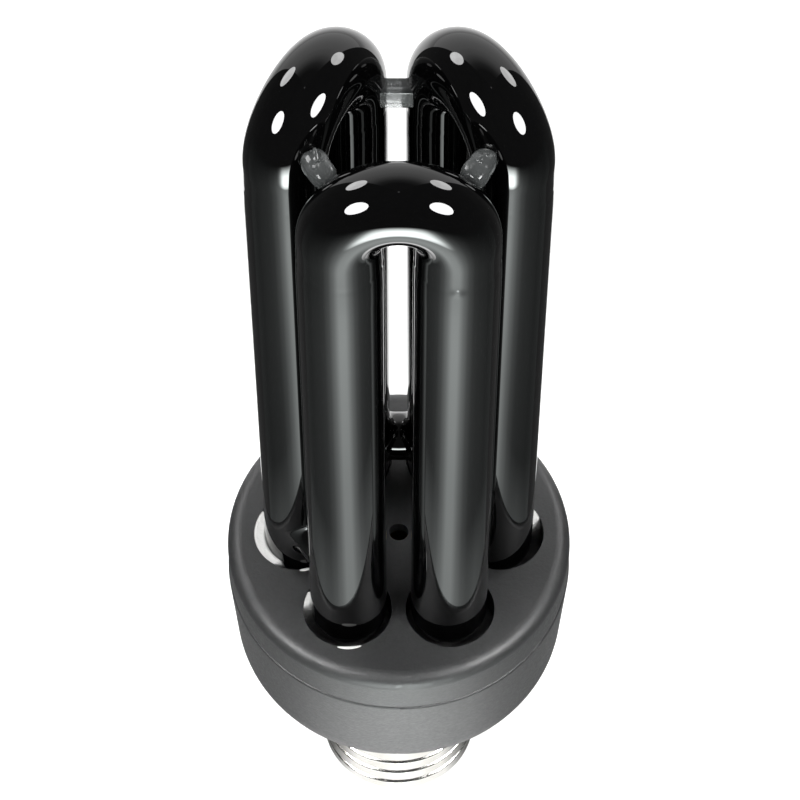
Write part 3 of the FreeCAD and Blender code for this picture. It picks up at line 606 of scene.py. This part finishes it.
def socket_fill(hole_angle):
    """Rings of points over the cement in one socket: its wall, its top, and round the foot of the leg."""
    hole = hole_centre(hole_angle)
    leg = leg_foot(*LEGS[hole_angle])
    rings = [[] for _ in range(1 + TOP_RINGS + FOOT_RINGS)]
    for i in range(AROUND):
        angle = math.tau * i / AROUND
        c, s = math.cos(angle), math.sin(angle)
        depth = cement_depth(hole_angle, math.degrees(angle))
        outer = (hole[0] + HOLE_RADIUS * c, hole[1] + HOLE_RADIUS * s)
        inner = (leg.x + tube_radius_at(depth) * c, leg.y + tube_radius_at(depth) * s)
        rings[0].append((*outer, COVER_TOP - SOCKET_DEPTH))
        for k in range(TOP_RINGS):
            u = k / (TOP_RINGS - 1)
            sag = CEMENT_SAG * 4 * u * (1 - u) * math.sin(5 * angle + hole_angle) ** 2
            x, y = (o + (n - o) * u for o, n in zip(outer, inner))
            rings[1 + k].append((x, y, COVER_TOP - depth - sag))
        for k in range(FOOT_RINGS):
            lower = depth + (CEMENT_END - depth) * (k + 1) / FOOT_RINGS
            r = tube_radius_at(lower)
            rings[1 + TOP_RINGS + k].append((leg.x + r * c, leg.y + r * s, COVER_TOP - lower))
    return rings


def painted_rim_glint(hole_angle, angle, half_length):
    """Rings of points over a thin white strip along a hole's rim: a painted highlight where the edge catches
    the light.
    """
    hole = hole_centre(hole_angle)
    rings = []
    for i in range(-GLINT_STEPS, GLINT_STEPS + 1):
        s = math.sin(math.pi / 2 * i / (GLINT_STEPS + GLINT_SHORT))
        heading = math.radians(angle) + half_length * s / HOLE_RADIUS
        thick = math.sqrt(1 - s * s)
        ring = []
        for k in range(GLINT_AROUND):
            u = math.tau * k / GLINT_AROUND
            reach = HOLE_RADIUS + GLINT_OUT + GLINT_WIDTH * thick * math.cos(u)
            lift = COVER_TOP - GLINT_SUNK + GLINT_HEIGHT * thick * math.sin(u)
            ring.append((hole[0] + reach * math.cos(heading), hole[1] + reach * math.sin(heading), lift))
        rings.append(ring)
    return rings


# The cement in the sockets, with its painted shade deep down, and the rims' painted highlights.
fills_and_glints = [socket_fill(angle) for angle in LEGS] + [painted_rim_glint(*glint) for glint in PAINTED_GLINTS]
closed_tubes("cement_and_painted_light", fills_and_glints, "cement", "tube_cement")


# Stage and light

FLOOR_HALF = 2.5
# How bright the floor and the world are by themselves to the camera, gloss and glass, and the world's
# light on everything.
FLOOR_GLOW = 0.5
WORLD_GLOW = 0.8
WORLD_LIGHT = 0.25
# By name: azimuth, elevation, angular radius in degrees, brightness in the glass, light in watts.
SOFTBOXES = {
    "left_front": (-122, 40, 12.6, 25, 5),
    "right_front": (122, 39.5, 12.6, 25, 5),
    "left_back": (-48, 38, 10, 10, 2.5),
    "right_back": (47, 37.5, 10, 9, 2.5),
}
SOFTBOX_AIM = Vector((0, 0, 0.15))
SOFTBOX_REACH = 0.9
SOFTBOX_CORNERS = 48
# Sheets that only gloss shows are drawn in steps of so many degrees, and in no fewer steps than this.
SHEET_STEP = 4
LEAST_STEPS = 8
# The black flags: how far out they stand, how high they reach in degrees and in how many bands, and
# how bright they still are.
FLAG_REACH = 1.3
FLAG_TOP = 89
FLAG_BANDS = 18
FLAG_GLOW = 0.07
# Half the opening in them behind the lamp, the elevation where it ends, and how the brightness fades
# above that, all in degrees.
BACK_OPENING = 40
OPENING_TOP = 40
OPENING_FADE = [(40, 1.0), (48, 0.88), (56, 0.52), (62, 0.23), (70, 0.08)]
# The sheets on the floor, as radius and height from their inner to their outer edge.
CARD_EDGE = 0.062
FLAG_FLOOR = [(CARD_EDGE, 0.001), (0.3, 0.001), (FLAG_REACH, 0.001)]
NEAR_CARD = [(0.0135, 0.0005), (0.035, 0.0005), (CARD_EDGE, 0.0005)]
FRONT_CARD = [(CARD_EDGE, 0.002), (0.2, 0.002), (FLAG_REACH, 0.002)]
# The azimuths between which the front card lies.
FRONT_CARD_ENDS = (80, 280)
# The near card's brightness under the housing and on the open floor, by how far to the side, and the
# radii between which one turns into the other.
UNDER_LIGHT = 1.35
UNDER_ASIDE = [(0.0, 1), (0.25, 0.8), (0.34, 0.33), (0.42, 0.1), (1.0, 0.06)]
OPEN_LIGHT = 4.7
OPEN_ASIDE = [(0.0, 1), (0.12, 0.92), (0.2, 0.64), (0.32, 0.23), (0.45, 0.15), (0.7, 0.12), (1.0, 0.05)]
OPEN_FLOOR = (0.036, 0.05)
# The front card's brightness, by how far to the side, and by the root of the distance as a share of
# the flags' reach: of the card, of the pool of light on it, and of the light near the lamp.
CARD_COLOUR = (0.94, 1.0, 0.985, 1)
CARD_LIGHT = 4.0
CARD_ASIDE = [(0.0, 1), (0.04, 0.97), (0.1, 0.52), (0.165, 0.22), (0.235, 0.09), (0.3, 0.055), (0.45, 0.015)]
CARD_REACH = [(0.218, 0.46), (0.263, 0.58), (0.304, 0.85), (0.4, 0.85), (0.65, 0.3), (0.8, 0.1), (0.95, 0.01)]
POOL_LIGHT = 22.0
POOL_ASIDE = [(0.03, 1), (0.055, 0.75), (0.08, 0.2), (0.1, 0.04), (0.12, 0)]
POOL_REACH = [
    (0.375, 0), (0.392, 0.4), (0.425, 0.9), (0.46, 1),
    (0.56, 1), (0.66, 0.65), (0.8, 0.25), (0.95, 0.03),
]
# How the pool's near edge draws back to the sides.
POOL_RECEDING = 4.0
NEAR_LIGHT = 0.35
NEAR_ASIDE = [(0.02, 0), (0.08, 0.5), (0.14, 1), (0.35, 1), (0.5, 0.3)]
NEAR_REACH = [(0.218, 1), (0.232, 0.7), (0.25, 0)]
# The camera, worked out from the photograph's outlines.
LENS = 145.86
SENSOR = 36
LENS_SHIFT = 0.0015
CAMERA_PLACE = (0, -0.26644, COVER_TOP + 0.44413)
CAMERA_AIM = (0, 0, COVER_TOP + 0.038372)


def mesh_object(name, vertices, faces):
    mesh = bpy.data.meshes.new(name)
    mesh.from_pydata(vertices, [], faces)
    thing = bpy.data.objects.new(name, mesh)
    scene.collection.objects.link(thing)
    return thing


def white_to_camera_and_gloss(tree, strength):
    """A strength for rays from the camera and from gloss and glass, and none for others."""
    path = tree.nodes.new("ShaderNodeLightPath")
    seen = path.outputs["Is Camera Ray"]
    for name in ("Is Glossy Ray", "Is Transmission Ray"):
        seen = math_node(tree, "MAXIMUM", seen, path.outputs[name])
    return math_node(tree, "MULTIPLY", seen, strength)


def make_floor():
    """A wide white floor that keeps shadows."""
    half = FLOOR_HALF
    corners = [(-half, -half, 0), (half, -half, 0), (half, half, 0), (-half, half, 0)]
    floor = mesh_object("floor", corners, [(0, 1, 2, 3)])
    s = Shader("floor_white")
    s.colour(s.ramp(s.noise(8, 2), [(0.3, (0.84, 0.84, 0.84)), (0.7, (0.88, 0.88, 0.88))]))
    s.set(Roughness=0.9, Specular_IOR_Level=0.0, Emission_Color=(1, 1, 1, 1))
    s.link(white_to_camera_and_gloss(s.tree, FLOOR_GLOW), s.surface.inputs["Emission Strength"])
    floor.data.materials.append(s.material)


def make_world():
    """White all round, and a little light on everything."""
    world = bpy.data.worlds.new("studio")
    scene.world = world
    world.use_nodes = True
    tree = world.node_tree
    background = tree.nodes["Background"]
    background.inputs["Color"].default_value = (1, 1, 1, 1)
    strength = math_node(tree, "ADD", white_to_camera_and_gloss(tree, WORLD_GLOW), WORLD_LIGHT)
    tree.links.new(strength, background.inputs["Strength"])


def direction(azimuth, elevation):
    """Azimuth 0 is behind the lamp and 90 to its right, in degrees."""
    a, e = math.radians(azimuth), math.radians(elevation)
    return Vector((math.sin(a) * math.cos(e), math.cos(a) * math.cos(e), math.sin(e)))


def only_in_gloss(thing):
    thing.visible_camera = False
    thing.visible_diffuse = False
    thing.visible_transmission = False
    thing.visible_shadow = False
    thing.visible_volume_scatter = False


def glow_material(name, light, colour=(1, 1, 1, 1)):
    """A surface that only gives light, of the strength that light(shader) works out."""
    s = Shader(name)
    s.set(Base_Color=(0, 0, 0, 1), Roughness=1.0, Specular_IOR_Level=0.0, Emission_Color=colour)
    s.link(light(s), s.surface.inputs["Emission Strength"])
    return s.material


def even_light(strength):
    """Light that is nearly as strong all over."""
    return lambda s: s.range(s.noise(6, 2), 0.9 * strength, 1.1 * strength)


def make_softbox(name, azimuth, elevation, spread, brightness, power):
    """A round softbox: its bright face, which the gloss shows, and its light on everything else."""
    place = SOFTBOX_AIM + SOFTBOX_REACH * direction(azimuth, elevation)
    turn = (SOFTBOX_AIM - place).to_track_quat("-Z", "Y").to_euler()
    radius = SOFTBOX_REACH * math.tan(math.radians(spread))
    lamp = bpy.data.lights.new(name + "_lamp", "AREA")
    lamp.shape = "DISK"
    lamp.size = 2 * radius
    lamp.energy = power
    thing = bpy.data.objects.new(name + "_lamp", lamp)
    thing.location, thing.rotation_euler = place, turn
    thing.visible_camera = False
    thing.visible_glossy = False
    scene.collection.objects.link(thing)
    angles = [math.tau * i / SOFTBOX_CORNERS for i in range(SOFTBOX_CORNERS)]
    ring = [(radius * math.cos(a), radius * math.sin(a), 0) for a in angles]
    face = mesh_object(name + "_face", ring, [tuple(range(SOFTBOX_CORNERS))])
    face.location, face.rotation_euler = place, turn
    face.data.materials.append(glow_material(name + "_glow", even_light(brightness)))
    only_in_gloss(face)


def polar_sheet(name, start, end, profile, material):
    """A sheet swept round the lamp's axis between two azimuths, from its (radius, height) profile."""
    steps = max(LEAST_STEPS, int(abs(end - start) / SHEET_STEP))
    vertices, faces = [], []
    for radius, height in profile:
        for i in range(steps + 1):
            a = math.radians(start + (end - start) * i / steps)
            vertices.append((radius * math.sin(a), radius * math.cos(a), height))
    for r in range(len(profile) - 1):
        for i in range(steps):
            p = r * (steps + 1) + i
            faces.append((p, p + 1, p + steps + 2, p + steps + 1))
    sheet = mesh_object(name, vertices, faces)
    only_in_gloss(sheet)
    sheet.data.materials.append(material)


def flag_dome(low):
    """The profile of the flags' dome round the studio, from an elevation up to its top."""
    angles = [math.radians(low + (FLAG_TOP - low) * i / FLAG_BANDS) for i in range(FLAG_BANDS + 1)]
    return [(FLAG_REACH * math.cos(e), FLAG_REACH * math.sin(e)) for e in angles]


def make_flags():
    """Black cards round the lamp, open behind it, which keep the studio's white out of the gloss."""

    def fade(s):
        tall = s.range(s.axis("Z"), 0.0, 1.0, 0.0, FLAG_REACH)
        return s.grey_ramp(tall, [(math.sin(math.radians(e)), v) for e, v in OPENING_FADE])

    black = glow_material("flag_black", even_light(FLAG_GLOW))
    polar_sheet("flag_round", BACK_OPENING, 360 - BACK_OPENING, FLAG_FLOOR + flag_dome(0), black)
    faded = glow_material("flag_fade", fade)
    polar_sheet("flag_high", -BACK_OPENING, BACK_OPENING, flag_dome(OPENING_TOP), faded)


def polar(s):
    """How far a point lies to the side of straight ahead, from 0 to 1 at right behind, and its
    distance from the axis."""
    x, y = s.axis("X"), s.axis("Y")
    angle = s.calc("ABSOLUTE", s.calc("ARCTAN2", x, s.calc("MULTIPLY", y, -1.0)))
    squares = s.calc("ADD", s.calc("MULTIPLY", x, x), s.calc("MULTIPLY", y, y))
    return s.calc("DIVIDE", angle, math.pi), s.calc("SQRT", squares)


def make_near_card():
    """The floor close to the lamp as the cap and the housing mirror it: shaded under the housing
    and behind."""

    def shade(s):
        aside, far = polar(s)
        out = s.range(far, 0.0, 1.0, *OPEN_FLOOR)
        under = s.calc("MULTIPLY", s.grey_ramp(aside, UNDER_ASIDE), s.calc("SUBTRACT", 1.0, out))
        wide = s.calc("MULTIPLY", s.grey_ramp(aside, OPEN_ASIDE), s.calc("MULTIPLY", out, OPEN_LIGHT))
        return s.calc("ADD", s.calc("MULTIPLY", under, UNDER_LIGHT), wide)

    polar_sheet("near_card", 0, 360, NEAR_CARD, glow_material("near_card_glow", shade))


def make_front_card():
    """A pale card on the floor in front of the lamp, with a bright pool of light on it."""

    def falloff(s):
        aside, far = polar(s)
        reach = s.calc("SQRT", s.calc("DIVIDE", far, FLAG_REACH))

        def light(aside_stops, distance, reach_stops, strength):
            share = s.calc("MULTIPLY", s.grey_ramp(aside, aside_stops), s.grey_ramp(distance, reach_stops))
            return s.calc("MULTIPLY", share, strength)

        receding = s.calc("MULTIPLY", s.calc("MULTIPLY", aside, aside), POOL_RECEDING)
        card = light(CARD_ASIDE, reach, CARD_REACH, CARD_LIGHT)
        pool = light(POOL_ASIDE, s.calc("SUBTRACT", reach, receding), POOL_REACH, POOL_LIGHT)
        near = light(NEAR_ASIDE, reach, NEAR_REACH, NEAR_LIGHT)
        return s.calc("ADD", s.calc("ADD", card, pool), s.calc("ADD", near, FLAG_GLOW))

    glow = glow_material("front_card_glow", falloff, CARD_COLOUR)
    polar_sheet("front_card", *FRONT_CARD_ENDS, FRONT_CARD, glow)


def make_camera():
    camera = bpy.data.cameras.new("camera")
    camera.lens = LENS
    camera.sensor_width = SENSOR
    camera.shift_x = LENS_SHIFT
    thing = bpy.data.objects.new("camera", camera)
    thing.location = CAMERA_PLACE
    thing.rotation_euler = (Vector(CAMERA_AIM) - thing.location).to_track_quat("-Z", "Y").to_euler()
    scene.collection.objects.link(thing)
    scene.camera = thing


make_world()
make_floor()
for name, facts in SOFTBOXES.items():
    make_softbox(name, *facts)
make_flags()
make_near_card()
make_front_card()
make_camera()
